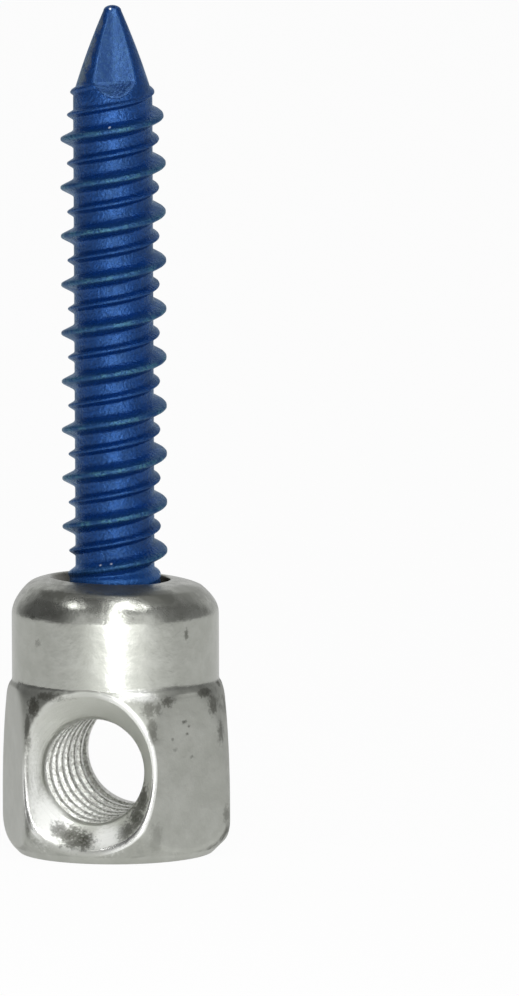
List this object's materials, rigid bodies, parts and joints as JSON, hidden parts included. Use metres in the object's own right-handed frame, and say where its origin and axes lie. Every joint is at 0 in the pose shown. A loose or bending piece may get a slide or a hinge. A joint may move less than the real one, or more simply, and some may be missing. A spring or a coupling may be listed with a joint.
{
  "type": "threaded rod anchor",
  "caption": "Self-tapping concrete screw fixed in a coupling head: hexagonal below, round above, with a countersunk, tapped cross hole that takes a hanging threaded rod from either side.",
  "frame": {"origin": "centre of the head's flat base, on the screw's axis", "axes": "+Z along the screw from the head to its point, Y along the tapped cross hole, -Y towards the side that the picture shows, X across the cross hole"},
  "size_m": [0.0182, 0.0164, 0.0658],
  "materials": {
    "zinc_head": "bright zinc plate over forged and turned steel, satin on the flats, polished in the countersink, with dark smudges at the corners",
    "blue_screw": "thin semi-gloss blue corrosion coating over hardened steel, slightly mottled, duller on the thread crests"
  },
  "bodies": {
    "root": {"coupling_head": "zinc_head", "concrete_screw": "blue_screw"}
  },
  "joints": []
}
